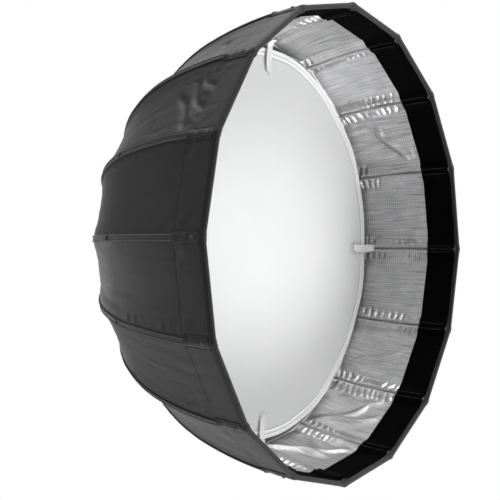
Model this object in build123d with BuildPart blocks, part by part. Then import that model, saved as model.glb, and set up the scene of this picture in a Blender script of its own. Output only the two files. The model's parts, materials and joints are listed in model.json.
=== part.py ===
from build123d import *
import os
from math import sin, cos, radians, pi, atan2, degrees, hypot

os.makedirs("parts", exist_ok=True)

# ---------------------------------------------------------------------------
# Deep sixteen-rib quick-fold softbox, open and locked.
# Row frame: +Z up, +Y out of the rear of the mount, light leaves toward -Y.
# Origin: centre of the mount's rear face, on the optical axis.
# ---------------------------------------------------------------------------

# ---- driving dimensions (mm) ----------------------------------------------
RIBS = 16
PITCH = 360.0 / RIBS                 # angle between ribs
RIM_R = 325.0                        # corner radius of the front rim (650 mm box)

HINGE_R = 70.0                       # radius of the rib hinge circle
HINGE_Y = -25.5                      # plane of the rib hinges
SKIN_OFF = 5.5                       # rib centreline to the outside of the fabric

# fabric profile, rear to front: a straight run, then three tangent arcs.
# Angles are measured from the optical axis.
PSI0 = 80.0
STRAIGHT = 59.5
ARCS = [(190.0, 80.0, 36.0), (320.0, 36.0, 20.0), (600.0, 20.0, 5.0)]
FABRIC_T = 1.6                       # outer nylon, interlining and silver lining together
SEAM_GAP = 0.3                       # clearance of each gore from the rib plane
GORE_START_R = 84.0                  # the gores start clear of the hub's ears

ROD_R = 2.25
ROD_START = 46.0
ROD_TRIM = 7.0                       # rod stops this far short of the rim
TIP_R = 3.2

PIN_R = 1.5
RUN_CLEAR = 0.05

# strut linkage, in the plane of one rib: distance out and forward from the hinge
PIVOT_ALONG = 38.0
PIVOT_OFF = 6.0
RUNNER_PIN_R = 61.0
RUNNER_PIN_S = 30.0
SLACK_R = 3.1                        # opened pivot: hole radius in the strut's outer end

BORE_R = 46.0
BORE_LEN = 16.0

POST_R = 2.5
POST_CIRCLE = 51.5
POST_ANGLES = [45.0, 135.0, 225.0, 315.0]
RUNNER_IN, RUNNER_OUT = 47.0, 56.0
RUNNER_S0, RUNNER_S1 = 21.0, 39.0    # runner body, forward of the hinge plane
STOP_S0, STOP_S1 = 85.0, 90.0        # end stop ring, forward of the hinge plane
HUB_FRONT_Y = -30.0

DIFF_R = 276.0                       # inner diffuser
DIFF_Y = -195.5                      # rear face of the inner diffuser
DIFF_T = 3.0


# ---- helpers ---------------------------------------------------------------
def rib_plane(theta):
    """Plane through one rib: local X outward, local Y forward, normal tangential."""
    a = radians(theta)
    return Plane(
        origin=(HINGE_R * cos(a), HINGE_Y, HINGE_R * sin(a)),
        x_dir=(cos(a), 0, sin(a)),
        z_dir=(sin(a), 0, -cos(a)),
    )


def profile(offset, steps=1):
    """Points (u, s) of the rib line, `offset` inside the fabric, hinge to rim."""
    p = [0.0, 0.0]
    t = radians(PSI0)
    # the fabric passes SKIN_OFF behind the hinge's centreline
    n = (-cos(t), sin(t))
    p[0] += n[0] * (offset - SKIN_OFF)
    p[1] += n[1] * (offset - SKIN_OFF)
    pts = [tuple(p)]
    p[0] += STRAIGHT * sin(t)
    p[1] += STRAIGHT * cos(t)
    pts.append(tuple(p))
    for r, a0, a1 in ARCS:
        rr = r - offset
        for k in range(1, steps + 1):
            b0 = radians(a0 + (a1 - a0) * (k - 1) / steps)
            b1 = radians(a0 + (a1 - a0) * k / steps)
            p[0] += -rr * (cos(b0) - cos(b1))
            p[1] += rr * (sin(b0) - sin(b1))
            pts.append(tuple(p))
    return pts


def along(a, off=0.0):
    """Point at distance a along the rib's straight run, off to the front of it."""
    t = radians(PSI0)
    return (a * sin(t) - off * cos(t), a * cos(t) + off * sin(t))


def turn(p, c, ang):
    a = radians(ang)
    x, y = p[0] - c[0], p[1] - c[1]
    return (c[0] + x * cos(a) - y * sin(a), c[1] + x * sin(a) + y * cos(a))


DIR = degrees(atan2(cos(radians(PSI0)), sin(radians(PSI0))))   # straight run, in the rib plane
PIVOT = along(PIVOT_ALONG, PIVOT_OFF)
RUNPIN = (RUNNER_PIN_R - HINGE_R, RUNNER_PIN_S)
STRUT_LEN = hypot(PIVOT[0] - RUNPIN[0], PIVOT[1] - RUNPIN[1])
STRUT_DIR = degrees(atan2(PIVOT[1] - RUNPIN[1], PIVOT[0] - RUNPIN[0]))
print("strut length", STRUT_LEN, "direction", STRUT_DIR)

rib_angles = [90.0 + PITCH * k for k in range(RIBS)]


# ---- mount ring: the bore that slides over the head's front -----------------
with BuildPart() as mount_ring:
    with BuildSketch(Plane.XY):
        with BuildLine():
            Polyline(
                (BORE_R, 0), (48.4, 0), (49, -0.6), (49, -9), (63.2, -9), (64, -9.8),
                (64, -16), (BORE_R, -BORE_LEN), close=True,
            )
        make_face()
    revolve(axis=Axis.Y)
    # four screw holes through the flange
    with BuildSketch(Plane(origin=(0, -9, 0), x_dir=(1, 0, 0), z_dir=(0, 1, 0))):
        with PolarLocations(57.5, 4, start_angle=PITCH / 2):
            Circle(1.65)
    extrude(amount=-7.0, mode=Mode.SUBTRACT)
mount_ring.part.label = "mount_ring"
export_step(mount_ring.part, "parts/mount_ring.step")

# ---- bayonet plate: a pressed steel ring with three lugs --------------------
with BuildPart() as bayonet_plate:
    with BuildSketch(Plane(origin=(0, -1.2, 0), x_dir=(1, 0, 0), z_dir=(0, 1, 0))):
        Circle(50.6)
        with PolarLocations(0, 3, start_angle=90):
            with BuildLine(mode=Mode.PRIVATE) as lug_line:
                a0 = radians(-19)
                l1 = Line((48 * cos(a0), 48 * sin(a0)), (54 * cos(a0), 54 * sin(a0)))
                l2 = CenterArc((0, 0), 54, -19, 38)
                l3 = Line(l2 @ 1, (48 * cos(-a0), 48 * sin(-a0)))
                l4 = Line(l3 @ 1, l1 @ 0)
            make_face(lug_line.edges())
        Circle(49.05, mode=Mode.SUBTRACT)
    extrude(amount=-2.2)
bayonet_plate.part.label = "bayonet_plate"
export_step(bayonet_plate.part, "parts/bayonet_plate.step")

# ---- hub ring: carries sixteen pairs of hinge ears --------------------------
with BuildPart() as hub_ring:
    with BuildSketch(Plane.XY):
        with BuildLine():
            Polyline(
                (47, -16), (63, -16), (63, -28.8), (61.8, HUB_FRONT_Y), (47, HUB_FRONT_Y),
                close=True,
            )
        make_face()
    revolve(axis=Axis.Y)
    for th in rib_angles:
        pl = rib_plane(th)
        for side in (-1, 1):
            with BuildSketch(pl.offset(side * 2.2)):
                with Locations((-5.5, 0)):
                    Rectangle(11, 9.0)
                Circle(5.6)
                Circle(PIN_R + RUN_CLEAR, mode=Mode.SUBTRACT)
            extrude(amount=side * 3.0)
    # threaded holes for the flange screws
    with BuildSketch(Plane(origin=(0, -16, 0), x_dir=(1, 0, 0), z_dir=(0, 1, 0))):
        with PolarLocations(57.5, 4, start_angle=PITCH / 2):
            Circle(1.55)
    extrude(amount=-9.0, mode=Mode.SUBTRACT)
    # through holes and counterbores for the guide post screws
    with BuildSketch(Plane(origin=(0, -16, 0), x_dir=(1, 0, 0), z_dir=(0, 1, 0))):
        with PolarLocations(POST_CIRCLE, 4, start_angle=45):
            Circle(1.3)
    extrude(amount=-14.0, mode=Mode.SUBTRACT)
    with BuildSketch(Plane(origin=(0, -16, 0), x_dir=(1, 0, 0), z_dir=(0, 1, 0))):
        with PolarLocations(POST_CIRCLE, 4, start_angle=45):
            Circle(2.6)
    extrude(amount=-2.2, mode=Mode.SUBTRACT)
hub_ring.part.label = "hub_ring"
export_step(hub_ring.part, "parts/hub_ring.step")

# ---- rib hinge pins: headed pins, one across each pair of ears --------------
with BuildPart() as rib_hinge_pins:
    for th in rib_angles:
        pl = rib_plane(th)
        with BuildSketch(pl):
            Circle(PIN_R)
        extrude(amount=5.3, both=True)
        for side in (-1, 1):
            with BuildSketch(pl.offset(side * 5.3)):
                Circle(2.4)
            extrude(amount=side * 0.8)
rib_hinge_pins.part.label = "rib_hinge_pins"
export_step(rib_hinge_pins.part, "parts/rib_hinge_pins.step")

# ---- guide posts: four steel rods the runner slides on ----------------------
post_len = (HINGE_Y - STOP_S0) - HUB_FRONT_Y
with BuildPart() as guide_posts:
    with BuildSketch(Plane(origin=(0, HUB_FRONT_Y, 0), x_dir=(1, 0, 0), z_dir=(0, 1, 0))):
        with PolarLocations(POST_CIRCLE, 4, start_angle=45):
            Circle(POST_R)
    extrude(amount=post_len)
    # threaded holes in both ends
    for y0, d in ((HUB_FRONT_Y, -1), (HINGE_Y - STOP_S0, 1)):
        with BuildSketch(Plane(origin=(0, y0, 0), x_dir=(1, 0, 0), z_dir=(0, 1, 0))):
            with PolarLocations(POST_CIRCLE, 4, start_angle=45):
                Circle(1.3)
        extrude(amount=d * 8.0, mode=Mode.SUBTRACT)
guide_posts.part.label = "guide_posts"
export_step(guide_posts.part, "parts/guide_posts.step")

# ---- end stop ring: ties the posts' front ends, with four stop bosses -------
with BuildPart() as end_stop_ring:
    with BuildSketch(Plane.XY):
        with BuildLine():
            Polyline(
                (RUNNER_IN, HINGE_Y - STOP_S0), (RUNNER_OUT, HINGE_Y - STOP_S0),
                (RUNNER_OUT, HINGE_Y - STOP_S1 + 1), (RUNNER_OUT - 1, HINGE_Y - STOP_S1),
                (RUNNER_IN + 1, HINGE_Y - STOP_S1), (RUNNER_IN, HINGE_Y - STOP_S1 + 1),
                close=True,
            )
        make_face()
    revolve(axis=Axis.Y)
    with BuildSketch(Plane(origin=(0, HINGE_Y - STOP_S0, 0), x_dir=(1, 0, 0), z_dir=(0, 1, 0))):
        with PolarLocations(POST_CIRCLE, 4, start_angle=45):
            Circle(3.9)
            Circle(POST_R + 0.05, mode=Mode.SUBTRACT)
    extrude(amount=4.4)
    with BuildSketch(Plane(origin=(0, HINGE_Y - STOP_S0, 0), x_dir=(1, 0, 0), z_dir=(0, 1, 0))):
        with PolarLocations(POST_CIRCLE, 4, start_angle=45):
            Circle(1.3)
    extrude(amount=-6.0, mode=Mode.SUBTRACT)
end_stop_ring.part.label = "end_stop_ring"
export_step(end_stop_ring.part, "parts/end_stop_ring.step")

# ---- hub screws: flange screws, rear post screws, front post screws ---------
with BuildPart() as hub_screws:
    # flange screws, heads on the flange's rear face
    with BuildSketch(Plane(origin=(0, -9, 0), x_dir=(1, 0, 0), z_dir=(0, 1, 0))):
        with PolarLocations(57.5, 4, start_angle=PITCH / 2):
            Circle(1.5)
    extrude(amount=-14.0)
    with BuildSketch(Plane(origin=(0, -9, 0), x_dir=(1, 0, 0), z_dir=(0, 1, 0))):
        with PolarLocations(57.5, 4, start_angle=PITCH / 2):
            Circle(2.8)
    extrude(amount=1.6)
    # post screws from the rear, heads in the hub's counterbores
    with BuildSketch(Plane(origin=(0, -18.2, 0), x_dir=(1, 0, 0), z_dir=(0, 1, 0))):
        with PolarLocations(POST_CIRCLE, 4, start_angle=45):
            Circle(2.4)
    extrude(amount=1.8)
    with BuildSketch(Plane(origin=(0, -18.2, 0), x_dir=(1, 0, 0), z_dir=(0, 1, 0))):
        with PolarLocations(POST_CIRCLE, 4, start_angle=45):
            Circle(1.25)
    extrude(amount=-18.0)
    # post screws from the front, heads on the end stop ring
    with BuildSketch(Plane(origin=(0, HINGE_Y - STOP_S1, 0), x_dir=(1, 0, 0), z_dir=(0, 1, 0))):
        with PolarLocations(POST_CIRCLE, 4, start_angle=45):
            Circle(2.4)
    extrude(amount=-1.6)
    with BuildSketch(Plane(origin=(0, HINGE_Y - STOP_S1, 0), x_dir=(1, 0, 0), z_dir=(0, 1, 0))):
        with PolarLocations(POST_CIRCLE, 4, start_angle=45):
            Circle(1.25)
    extrude(amount=12.0)
hub_screws.part.label = "hub_screws"
export_step(hub_screws.part, "parts/hub_screws.step")

# ---- runner ring: slides on the posts and drives the struts -----------------
BUTTON_R = 51.5
with BuildPart() as runner_ring:
    with BuildSketch(Plane.XY):
        with BuildLine():
            Polyline(
                (RUNNER_IN, HINGE_Y - RUNNER_S0), (RUNNER_OUT, HINGE_Y - RUNNER_S0),
                (RUNNER_OUT, HINGE_Y - RUNNER_S1), (RUNNER_IN, HINGE_Y - RUNNER_S1),
                close=True,
            )
        make_face()
    revolve(axis=Axis.Y)
    for th in rib_angles:
        with BuildSketch(rib_plane(th)):
            with Locations(((RUNNER_PIN_R + RUNNER_OUT - 1.0) / 2 - HINGE_R, RUNNER_PIN_S)):
                Rectangle(RUNNER_PIN_R - RUNNER_OUT + 1.0, 7.2)
            with Locations(RUNPIN):
                Circle(3.6)
                Circle(PIN_R + 0.02, mode=Mode.SUBTRACT)
        extrude(amount=2.0, both=True)
    # bushes for the posts
    with BuildSketch(Plane(origin=(0, HINGE_Y - RUNNER_S0, 0), x_dir=(1, 0, 0), z_dir=(0, 1, 0))):
        with PolarLocations(POST_CIRCLE, 4, start_angle=45):
            Circle(POST_R + RUN_CLEAR)
    extrude(amount=-(RUNNER_S1 - RUNNER_S0), mode=Mode.SUBTRACT)
    # pockets for the two release buttons, in the front face
    with BuildSketch(Plane(origin=(0, HINGE_Y - RUNNER_S1, 0), x_dir=(1, 0, 0), z_dir=(0, 1, 0))):
        with Locations((BUTTON_R, 0), (-BUTTON_R, 0)):
            RectangleRounded(5.4, 13.4, 1.5)
    extrude(amount=10.0, mode=Mode.SUBTRACT)
runner_ring.part.label = "runner_ring"
export_step(runner_ring.part, "parts/runner_ring.step")

# ---- release buttons: pressed toward the mount to unlock the runner ---------
for name, x in (("release_button_1", BUTTON_R), ("release_button_2", -BUTTON_R)):
    with BuildPart() as button:
        with BuildSketch(Plane(origin=(x, HINGE_Y - RUNNER_S1 + 5.5, 0), x_dir=(1, 0, 0), z_dir=(0, -1, 0))):
            RectangleRounded(5.0, 13.0, 1.3)
        extrude(amount=9.5)
        fillet(button.faces().sort_by(Axis.Y)[0].edges(), 0.8)
    button.part.label = name
    export_step(button.part, "parts/" + name + ".step")

# ---- strut pins: rivets that hold the struts to the runner's lugs -----------
with BuildPart() as strut_pins:
    for th in rib_angles:
        pl = rib_plane(th)
        with BuildSketch(pl):
            with Locations(RUNPIN):
                Circle(PIN_R)
        extrude(amount=4.0, both=True)
        for side in (-1, 1):
            with BuildSketch(pl.offset(side * 4.0)):
                with Locations(RUNPIN):
                    Circle(2.3)
            extrude(amount=side * 0.7)
strut_pins.part.label = "strut_pins"
export_step(strut_pins.part, "parts/strut_pins.step")

# ---- ribs, struts and gores, sixteen of each --------------------------------
rod_pts = profile(SKIN_OFF)
outer_pts = profile(0.0, steps=6)
# the gore's mid-plane sees the same profile, drawn in by the half-pitch angle
HALF = radians(PITCH / 2)


def mid(points):
    return [((HINGE_R + u) * cos(HALF), s) for u, s in points]


outer_mid = mid(outer_pts)
inner_mid = mid(profile(FABRIC_T, steps=6))
# trim both lines at the rear hem
cut = GORE_START_R * cos(HALF)


def trim(points):
    for (r0, s0), (r1, s1) in zip(points, points[1:]):
        if r0 <= cut <= r1:
            f = (cut - r0) / (r1 - r0)
            k = points.index((r1, s1))
            return [(cut, s0 + f * (s1 - s0))] + points[k:]
    return points


outer_mid, inner_mid = trim(outer_mid), trim(inner_mid)

for k, th in enumerate(rib_angles):
    tag = f"{k + 1:02d}"
    pl = rib_plane(th)

    # rib: hinge bracket with socket, spring-steel rod, tip cap, pivot rivet
    with BuildPart() as rib:
        with BuildSketch(pl):
            Circle(5.2)
            with Locations(Location(along(23.0), DIR)):
                Rectangle(46.0, 6.8)
            with Locations(PIVOT):
                Circle(4.3)
            with Locations(Location(along(PIVOT_ALONG, 3.0), DIR)):
                Rectangle(8.6, 6.0)
            Circle(PIN_R + RUN_CLEAR, mode=Mode.SUBTRACT)
            with Locations(PIVOT):
                Circle(PIN_R + 0.02, mode=Mode.SUBTRACT)
        extrude(amount=2.0, both=True)
        sock = Plane(
            origin=pl.from_local_coords((*along(44.5), 0)),
            x_dir=pl.z_dir,
            z_dir=(pl.from_local_coords((*along(46.5), 0)) - pl.from_local_coords((*along(44.5), 0))).normalized(),
        )
        with BuildSketch(sock):
            Circle(3.3)
        extrude(amount=13.5)
        with BuildSketch(sock.offset(ROD_START - 44.5)):
            Circle(ROD_R + 0.03)
        extrude(amount=14.0, mode=Mode.SUBTRACT)

    # the rod follows the rib line, concentric with the fabric profile
    with BuildPart() as rod:
        with BuildLine(pl) as rod_line:
            start = along(ROD_START + 0.1)
            Line(start, rod_pts[1])
            for (r, a0, a1), p0, p1 in zip(ARCS, rod_pts[1:], rod_pts[2:]):
                rr = r - SKIN_OFF
                c = (p0[0] - rr * cos(radians(a0)), p0[1] + rr * sin(radians(a0)))
                last = a1
                if a1 == ARCS[-1][2]:
                    last = a1 + degrees(ROD_TRIM / rr)
                m = radians((a0 + last) / 2)
                e = radians(last)
                ThreePointArc(
                    p0,
                    (c[0] + rr * cos(m), c[1] - rr * sin(m)),
                    (c[0] + rr * cos(e), c[1] - rr * sin(e)),
                )
        path = rod_line.wires()[0]
        with BuildSketch(Plane(origin=path @ 0, x_dir=pl.z_dir, z_dir=path % 0)):
            Circle(ROD_R)
        sweep(path=path)

    # moulded tip cap on the rod's end, held in the rim's pocket
    with BuildPart() as cap:
        end_plane = Plane(origin=path @ 1, x_dir=pl.z_dir, z_dir=path % 1)
        with BuildSketch(end_plane.offset(-14.0)):
            Circle(TIP_R)
            Circle(ROD_R + 0.35, mode=Mode.SUBTRACT)
        extrude(amount=14.1)
        with BuildSketch(end_plane.offset(0.1)):
            Circle(TIP_R)
        extrude(amount=3.4)
        fillet(cap.faces().sort_by(lambda f: (f.center() - end_plane.origin).dot(end_plane.z_dir))[-1].edges(), 1.5)

    # pivot rivet: its broad heads cover the slack hole in the strut
    with BuildPart() as rivet:
        with BuildSketch(pl):
            with Locations(PIVOT):
                Circle(PIN_R)
        extrude(amount=4.0, both=True)
        for side in (-1, 1):
            with BuildSketch(pl.offset(side * 4.0)):
                with Locations(PIVOT):
                    Circle(4.6)
            extrude(amount=side * 0.8)

    with BuildPart() as rib_node:
        add(rib.part)
        add(rod.part)
        add(cap.part)
        add(rivet.part)
    rib_node.part.label = "rib_" + tag
    export_step(rib_node.part, "parts/rib_" + tag + ".step")

    # strut: pressed U channel from the runner's lug to the rib's pivot
    with BuildPart() as strut:
        for side in (-1, 1):
            with BuildSketch(pl.offset(side * 2.25)):
                with Locations(Location(((RUNPIN[0] + PIVOT[0]) / 2, (RUNPIN[1] + PIVOT[1]) / 2), STRUT_DIR)):
                    Rectangle(STRUT_LEN, 6.4)
                with Locations(RUNPIN):
                    Circle(3.5)
                with Locations(PIVOT):
                    Circle(4.9)
                with Locations(RUNPIN):
                    Circle(PIN_R + RUN_CLEAR, mode=Mode.SUBTRACT)
                with Locations(PIVOT):
                    Circle(SLACK_R, mode=Mode.SUBTRACT)
            extrude(amount=side * 1.5)
        web_c = turn(
            ((RUNPIN[0] + STRUT_LEN / 2 - 1.0), RUNPIN[1] + 2.7), RUNPIN, STRUT_DIR
        )
        with BuildSketch(pl):
            with Locations(Location(web_c, STRUT_DIR)):
                Rectangle(STRUT_LEN - 19.0, 1.0)
        extrude(amount=2.5, both=True)
    strut.part.label = "strut_" + tag
    export_step(strut.part, "parts/strut_" + tag + ".step")

    # gore: one fabric panel between this rib and the next
    mid_a = radians(th + PITCH / 2)
    gore_plane = Plane(
        origin=(0, HINGE_Y, 0),
        x_dir=(cos(mid_a), 0, sin(mid_a)),
        z_dir=(sin(mid_a), 0, -cos(mid_a)),
    )
    with BuildPart() as gore:
        with BuildSketch(gore_plane):
            with BuildLine():
                Polyline(*outer_mid, *reversed(inner_mid), close=True)
            make_face()
        extrude(amount=70.0, both=True)
        for a, sgn in ((radians(th), 1.0), (radians(th + PITCH), -1.0)):
            # plane of the rib, moved into the gore by the seam clearance
            t = (-sin(a) * sgn, 0, cos(a) * sgn)
            cutter = Plane(origin=(t[0] * SEAM_GAP, 0, t[2] * SEAM_GAP), z_dir=t)
            split(bisect_by=cutter, keep=Keep.TOP)
    gore.part.label = "gore_" + tag
    export_step(gore.part, "parts/gore_" + tag + ".step")

# ---- inner diffuser: a bound disc with four radial tabs ---------------------
with BuildPart() as inner_diffuser:
    with BuildSketch(Plane(origin=(0, DIFF_Y, 0), x_dir=(1, 0, 0), z_dir=(0, 1, 0))):
        Circle(DIFF_R)
    extrude(amount=-DIFF_T)
    with BuildSketch(Plane(origin=(0, DIFF_Y - DIFF_T, 0), x_dir=(1, 0, 0), z_dir=(0, 1, 0))):
        with PolarLocations(258.0, 4):
            Rectangle(50.0, 20.0)
    extrude(amount=-1.6)
inner_diffuser.part.label = "inner_diffuser"
export_step(inner_diffuser.part, "parts/inner_diffuser.step")
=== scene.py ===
import bpy
import json
import math
import numpy as np
from mathutils import Matrix, Vector

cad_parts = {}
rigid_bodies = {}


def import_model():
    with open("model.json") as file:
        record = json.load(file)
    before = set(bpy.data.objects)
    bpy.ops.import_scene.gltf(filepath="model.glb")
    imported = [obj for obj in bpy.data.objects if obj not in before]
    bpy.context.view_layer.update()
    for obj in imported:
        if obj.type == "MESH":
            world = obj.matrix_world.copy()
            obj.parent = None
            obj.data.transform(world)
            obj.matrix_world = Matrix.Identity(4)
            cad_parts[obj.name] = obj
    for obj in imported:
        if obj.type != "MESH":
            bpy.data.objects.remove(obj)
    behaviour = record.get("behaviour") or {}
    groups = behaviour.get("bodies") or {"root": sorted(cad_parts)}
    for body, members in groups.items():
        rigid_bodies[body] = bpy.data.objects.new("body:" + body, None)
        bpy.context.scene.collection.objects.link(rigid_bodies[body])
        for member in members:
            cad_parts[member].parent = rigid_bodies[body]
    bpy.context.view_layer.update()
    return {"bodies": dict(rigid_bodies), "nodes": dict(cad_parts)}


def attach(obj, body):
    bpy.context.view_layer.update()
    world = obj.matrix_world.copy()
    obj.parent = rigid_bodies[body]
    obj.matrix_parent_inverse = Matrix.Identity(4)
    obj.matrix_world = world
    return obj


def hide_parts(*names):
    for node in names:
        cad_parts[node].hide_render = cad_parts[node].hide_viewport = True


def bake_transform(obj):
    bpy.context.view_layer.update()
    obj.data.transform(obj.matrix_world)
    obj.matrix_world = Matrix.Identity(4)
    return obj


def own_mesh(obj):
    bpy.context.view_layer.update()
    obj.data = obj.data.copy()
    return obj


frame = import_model()
bodies, nodes = frame["bodies"], frame["nodes"]

# --------------------------------------------------------------------------
# the same driving sizes as the CAD, in metres
# --------------------------------------------------------------------------
N = 16
PITCH = math.radians(22.5)
HINGE_R, HINGE_Y = 0.070, -0.0255
SKIN_OFF = 0.0055
PSI0 = math.radians(80.0)
STRAIGHT = 0.0595
ARCS = [(0.190, 80.0, 36.0), (0.320, 36.0, 20.0), (0.600, 20.0, 5.0)]
DIFF_Y = -0.1970
TH = [math.radians(90.0) + PITCH * k for k in range(N)]


def outer_at(s):
    """rho, y and tangent angle of the outer fabric at arc length s from the hinge end."""
    s = np.asarray(s, float)
    # start: SKIN_OFF behind the hinge centreline
    r0 = HINGE_R + math.cos(PSI0) * SKIN_OFF
    y0 = HINGE_Y + math.sin(PSI0) * SKIN_OFF
    rho = r0 + np.minimum(s, STRAIGHT) * math.sin(PSI0)
    y = y0 - np.minimum(s, STRAIGHT) * math.cos(PSI0)
    psi = np.full_like(s, PSI0)
    left = s - STRAIGHT
    for R, a0, a1 in ARCS:
        a0, a1 = math.radians(a0), math.radians(a1)
        L = R * (a0 - a1)
        on = np.clip(left, 0, L)
        if R == ARCS[-1][0]:
            on = np.clip(left, 0, None)
        b = a0 - on / R
        rho = rho + np.where(left > 0, -R * (math.cos(a0) - np.cos(b)), 0)
        y = y - np.where(left > 0, R * (math.sin(a0) - np.sin(b)), 0)
        psi = np.where(left > 0, b, psi)
        left = left - L
    return rho, y, psi


S_END = STRAIGHT + sum(R * math.radians(a0 - a1) for R, a0, a1 in ARCS)
RIM_RHO, RIM_Y, _ = [float(x) for x in outer_at(S_END)]


def s_at_rho(r):
    """Arc length where the fabric reaches radius r."""
    lo, hi = 0.0, S_END
    for _ in range(50):
        m = (lo + hi) / 2
        if float(outer_at(m)[0]) < r:
            lo = m
        else:
            hi = m
    return lo


def s_at_depth(d):
    lo, hi = 0.0, S_END
    for _ in range(50):
        m = (lo + hi) / 2
        if float(outer_at(m)[1]) - RIM_Y > d:
            lo = m
        else:
            hi = m
    return lo


def e_r(th):
    return np.array([math.cos(th), 0.0, math.sin(th)])


EY = np.array([0.0, 1.0, 0.0])


def rib_line(th, s, off):
    """Points on the rib's plane at arc lengths s, off inside the fabric."""
    rho, y, psi = outer_at(s)
    rho = rho - np.cos(psi) * off
    y = y - np.sin(psi) * off
    return rho[..., None] * e_r(th) + y[..., None] * EY


def gore_frame(k, s):
    """Outward normal of gore k at arc lengths s, and the chord's direction."""
    _, _, psi = outer_at(s)
    m = TH[k] + PITCH / 2
    n = np.cos(psi)[..., None] * e_r(m) + np.sin(psi)[..., None] * EY
    t = np.array([-math.sin(m), 0.0, math.cos(m)])
    return n, t


# --------------------------------------------------------------------------
# seeded smooth noise
# --------------------------------------------------------------------------
def noise(x, y, seed):
    rs = np.random.RandomState(seed)
    G = rs.rand(64, 64) * 2 - 1
    xi, yi = np.floor(x).astype(int), np.floor(y).astype(int)
    fx, fy = x - xi, y - yi
    fx, fy = fx * fx * fx * (fx * (fx * 6 - 15) + 10), fy * fy * fy * (fy * (fy * 6 - 15) + 10)
    g = lambda a, b: G[a % 64, b % 64]
    return (g(xi, yi) * (1 - fx) + g(xi + 1, yi) * fx) * (1 - fy) + (
        g(xi, yi + 1) * (1 - fx) + g(xi + 1, yi + 1) * fx
    ) * fy


def fbm(x, y, seed, n=3):
    v, a = 0, 1.0
    for i in range(n):
        v = v + a * noise(x * 2**i + 3.1 * i, y * 2**i + 1.7 * i, seed + i)
        a *= 0.5
    return v


def bump(x, c, w):
    return np.exp(-(((x - c) / w) ** 2))


def smooth(x, a, b):
    t = np.clip((x - a) / (b - a), 0, 1)
    return t * t * (3 - 2 * t)


# --------------------------------------------------------------------------
# mesh making
# --------------------------------------------------------------------------
def mesh_object(name, verts, faces, uvs=None, mats=(), idx=None, flat=False):
    me = bpy.data.meshes.new(name)
    verts = np.asarray(verts, np.float32)
    faces = np.asarray(faces, np.int32)
    k = faces.shape[1]
    me.vertices.add(len(verts))
    me.vertices.foreach_set("co", verts.ravel())
    me.loops.add(faces.size)
    me.loops.foreach_set("vertex_index", faces.ravel())
    me.polygons.add(len(faces))
    me.polygons.foreach_set("loop_start", np.arange(0, faces.size, k, dtype=np.int32))
    me.polygons.foreach_set("loop_total", np.full(len(faces), k, np.int32))
    if idx is not None:
        me.polygons.foreach_set("material_index", np.asarray(idx, np.int32))
    me.update(calc_edges=True)
    me.polygons.foreach_set("use_smooth", np.full(len(faces), not flat))
    if uvs is not None:
        uv = me.uv_layers.new(name="Cloth")
        uv.data.foreach_set("uv", np.asarray(uvs, np.float32)[faces.ravel()].ravel())
    me.validate()
    if not flat:
        me.set_sharp_from_angle(angle=math.radians(50))
    for m in mats:
        me.materials.append(m)
    ob = bpy.data.objects.new(name, me)
    bpy.context.scene.collection.objects.link(ob)
    return ob


def thin_sheet(name, A, B, U, V, mats, back=0, edge=None, front_idx=None):
    """Closed thin sheet between grids A (outside, normals out) and B (inside).
    U, V are cloth coordinates in metres. back and edge are material indices."""
    nv, nw, _ = A.shape
    n = nv * nw
    verts = np.concatenate([A.reshape(-1, 3), B.reshape(-1, 3)])
    uv = np.stack([U.ravel(), V.ravel()], 1)
    uvs = np.concatenate([uv, uv])
    i = np.arange(nv - 1)[:, None] * nw + np.arange(nw - 1)[None, :]
    a, b, c, d = i, i + 1, i + nw + 1, i + nw
    top = np.stack([a, b, c, d], -1).reshape(-1, 4)
    bot = np.stack([d, c, b, a], -1).reshape(-1, 4) + n
    r0 = np.arange(nw - 1)
    rN = r0 + (nv - 1) * nw
    c0 = np.arange(nv - 1) * nw
    cN = c0 + nw - 1
    e1 = np.stack([r0 + 1, r0, r0 + n, r0 + 1 + n], 1)
    e2 = np.stack([rN, rN + 1, rN + 1 + n, rN + n], 1)
    e3 = np.stack([c0, c0 + nw, c0 + nw + n, c0 + n], 1)
    e4 = np.stack([cN + nw, cN, cN + n, cN + nw + n], 1)
    faces = np.concatenate([top, bot, e1, e2, e3, e4])
    f = np.zeros(len(top), int) if front_idx is None else front_idx
    idx = np.concatenate([f, np.full(len(bot), back), np.full(len(faces) - 2 * len(top), back if edge is None else edge)])
    return mesh_object(name, verts, faces, uvs, mats, idx)


def orient(ob, outward):
    """Flips the closed mesh if its volume is negative."""
    me = ob.data
    co = np.empty(len(me.vertices) * 3, np.float32)
    me.vertices.foreach_get("co", co)
    co = co.reshape(-1, 3).astype(float)
    me.calc_loop_triangles()
    tri = np.empty(len(me.loop_triangles) * 3, np.int32)
    me.loop_triangles.foreach_get("vertices", tri)
    tri = tri.reshape(-1, 3)
    c = co.mean(0)
    a, b, d = co[tri[:, 0]] - c, co[tri[:, 1]] - c, co[tri[:, 2]] - c
    if (a * np.cross(b, d)).sum() < 0:
        me.flip_normals()
    return ob


def area_of(P):
    """Area of a grid of points."""
    d1 = P[1:, :-1] - P[:-1, :-1]
    d2 = P[:-1, 1:] - P[:-1, :-1]
    return float(np.linalg.norm(np.cross(d1, d2), axis=-1).sum())


def gore_blend(ob, k):
    """Cloth between rib k and the next: bakes its transform and works out each point's angle round the axis from rib k;
    the angle is not used.
    """
    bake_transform(ob)
    co = np.empty(len(ob.data.vertices) * 3, np.float32)
    ob.data.vertices.foreach_get("co", co)
    co = co.reshape(-1, 3).astype(float)
    ang = np.arctan2(co[:, 2], co[:, 0]) - TH[k]
    ang = (ang + math.pi) % (2 * math.pi) - math.pi
    return ob


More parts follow.
